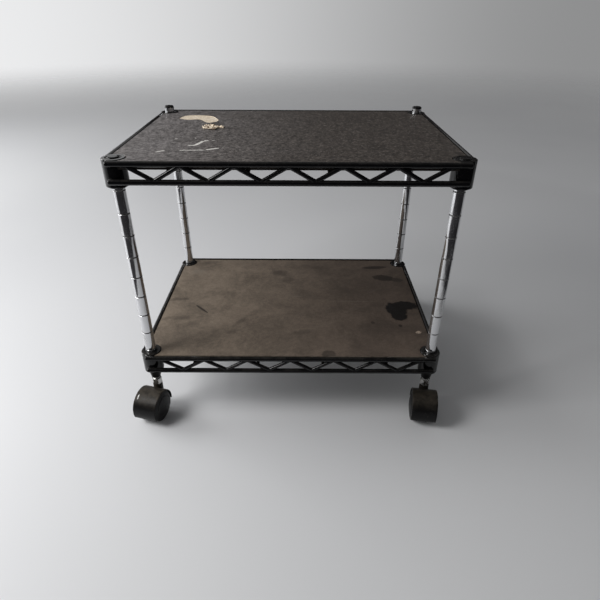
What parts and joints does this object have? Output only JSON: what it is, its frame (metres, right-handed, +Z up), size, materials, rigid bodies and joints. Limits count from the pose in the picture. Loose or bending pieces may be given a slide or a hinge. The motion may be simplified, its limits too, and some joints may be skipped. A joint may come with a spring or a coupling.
{
  "type": "mobile printer stand",
  "caption": "Low two-shelf rolling stand: dark boards in welded black wire frames, held by tapered sleeves on grooved chromed posts above twin-wheel swivel casters.",
  "frame": {"origin": "on the floor under the centre of the stand, at the bottom centre of its bounding box", "axes": "+X to the right along the long side of the shelves, +Y to the back, +Z up"},
  "size_m": [0.4014, 0.3278, 0.343],
  "materials": {
    "frame_black": "black powder coat over welded steel wire, satin to glossy, scuffed on the corners",
    "post_chrome": "chrome plated steel tube, slightly dusty",
    "board": "fibreboard with a dark fine-textured paper face, worn, scratched and chipped",
    "sleeve_plastic": "black moulded plastic",
    "plug_plastic": "black moulded plastic",
    "cap_plastic": "black moulded plastic, semi-gloss",
    "stem_zinc": "bright zinc plated steel",
    "caster_hood": "black moulded nylon, dusty and dulled",
    "axle_steel": "plain steel pin",
    "caster_wheel": "black moulded nylon, scuffed tread"
  },
  "bodies": {
    "stand": {"caster_stem_front_left": "stem_zinc", "caster_stem_front_right": "stem_zinc", "caster_stem_rear_left": "stem_zinc", "caster_stem_rear_right": "stem_zinc", "foot_plugs": "plug_plastic", "lower_board": "board", "lower_collars": "frame_black", "lower_cross_wires": "frame_black", "lower_front_rail_wires": "frame_black", "lower_front_truss": "frame_black", "lower_left_rail_wires": "frame_black", "lower_left_truss": "frame_black", "lower_rear_rail_wires": "frame_black", "lower_rear_truss": "frame_black", "lower_right_rail_wires": "frame_black", "lower_right_truss": "frame_black", "lower_sleeves": "sleeve_plastic", "post_cap_front_left": "cap_plastic", "post_cap_front_right": "cap_plastic", "post_cap_rear_left": "cap_plastic", "post_cap_rear_right": "cap_plastic", "post_front_left": "post_chrome", "post_front_right": "post_chrome", "post_rear_left": "post_chrome", "post_rear_right": "post_chrome", "upper_board": "board", "upper_collars": "frame_black", "upper_cross_wires": "frame_black", "upper_front_rail_wires": "frame_black", "upper_front_truss": "frame_black", "upper_left_rail_wires": "frame_black", "upper_left_truss": "frame_black", "upper_rear_rail_wires": "frame_black", "upper_rear_truss": "frame_black", "upper_right_rail_wires": "frame_black", "upper_right_truss": "frame_black", "upper_sleeves": "sleeve_plastic"},
    "caster_front_left": {"caster_hood_front_left": "caster_hood", "caster_axle_front_left": "axle_steel"},
    "wheel_front_left_left": {"caster_wheel_front_left_left": "caster_wheel"},
    "wheel_front_left_right": {"caster_wheel_front_left_right": "caster_wheel"},
    "caster_front_right": {"caster_hood_front_right": "caster_hood", "caster_axle_front_right": "axle_steel"},
    "wheel_front_right_left": {"caster_wheel_front_right_left": "caster_wheel"},
    "wheel_front_right_right": {"caster_wheel_front_right_right": "caster_wheel"},
    "caster_rear_left": {"caster_hood_rear_left": "caster_hood", "caster_axle_rear_left": "axle_steel"},
    "wheel_rear_left_left": {"caster_wheel_rear_left_left": "caster_wheel"},
    "wheel_rear_left_right": {"caster_wheel_rear_left_right": "caster_wheel"},
    "caster_rear_right": {"caster_hood_rear_right": "caster_hood", "caster_axle_rear_right": "axle_steel"},
    "wheel_rear_right_left": {"caster_wheel_rear_right_left": "caster_wheel"},
    "wheel_rear_right_right": {"caster_wheel_rear_right_right": "caster_wheel"}
  },
  "joints": [
    {"name": "swivel_front_left", "type": "hinge", "parent": "stand", "child": "caster_front_left", "pos_m": [-0.17525, -0.1204, 0.042], "axis": [0, 0, 1], "continuous": true},
    {"name": "spin_front_left_left", "type": "hinge", "parent": "caster_front_left", "child": "wheel_front_left_left", "pos_m": [-0.18007, -0.13878, 0.02], "axis": [0.9673, -0.2538, 0], "continuous": true},
    {"name": "spin_front_left_right", "type": "hinge", "parent": "caster_front_left", "child": "wheel_front_left_right", "pos_m": [-0.18007, -0.13878, 0.02], "axis": [0.9673, -0.2538, 0], "continuous": true},
    {"name": "swivel_front_right", "type": "hinge", "parent": "stand", "child": "caster_front_right", "pos_m": [0.17525, -0.1204, 0.042], "axis": [0, 0, 1], "continuous": true},
    {"name": "spin_front_right_left", "type": "hinge", "parent": "caster_front_right", "child": "wheel_front_right_left", "pos_m": [0.17241, -0.13919, 0.02], "axis": [0.9888, -0.1495, 0], "continuous": true},
    {"name": "spin_front_right_right", "type": "hinge", "parent": "caster_front_right", "child": "wheel_front_right_right", "pos_m": [0.17241, -0.13919, 0.02], "axis": [0.9888, -0.1495, 0], "continuous": true},
    {"name": "swivel_rear_left", "type": "hinge", "parent": "stand", "child": "caster_rear_left", "pos_m": [-0.17525, 0.1204, 0.042], "axis": [0, 0, 1], "continuous": true},
    {"name": "spin_rear_left_left", "type": "hinge", "parent": "caster_rear_left", "child": "wheel_rear_left_left", "pos_m": [-0.17241, 0.13919, 0.02], "axis": [-0.9888, 0.1495, 0], "continuous": true},
    {"name": "spin_rear_left_right", "type": "hinge", "parent": "caster_rear_left", "child": "wheel_rear_left_right", "pos_m": [-0.17241, 0.13919, 0.02], "axis": [-0.9888, 0.1495, 0], "continuous": true},
    {"name": "swivel_rear_right", "type": "hinge", "parent": "stand", "child": "caster_rear_right", "pos_m": [0.17525, 0.1204, 0.042], "axis": [0, 0, 1], "continuous": true},
    {"name": "spin_rear_right_left", "type": "hinge", "parent": "caster_rear_right", "child": "wheel_rear_right_left", "pos_m": [0.18007, 0.13878, 0.02], "axis": [-0.9673, 0.2538, 0], "continuous": true},
    {"name": "spin_rear_right_right", "type": "hinge", "parent": "caster_rear_right", "child": "wheel_rear_right_right", "pos_m": [0.18007, 0.13878, 0.02], "axis": [-0.9673, 0.2538, 0], "continuous": true}
  ]
}
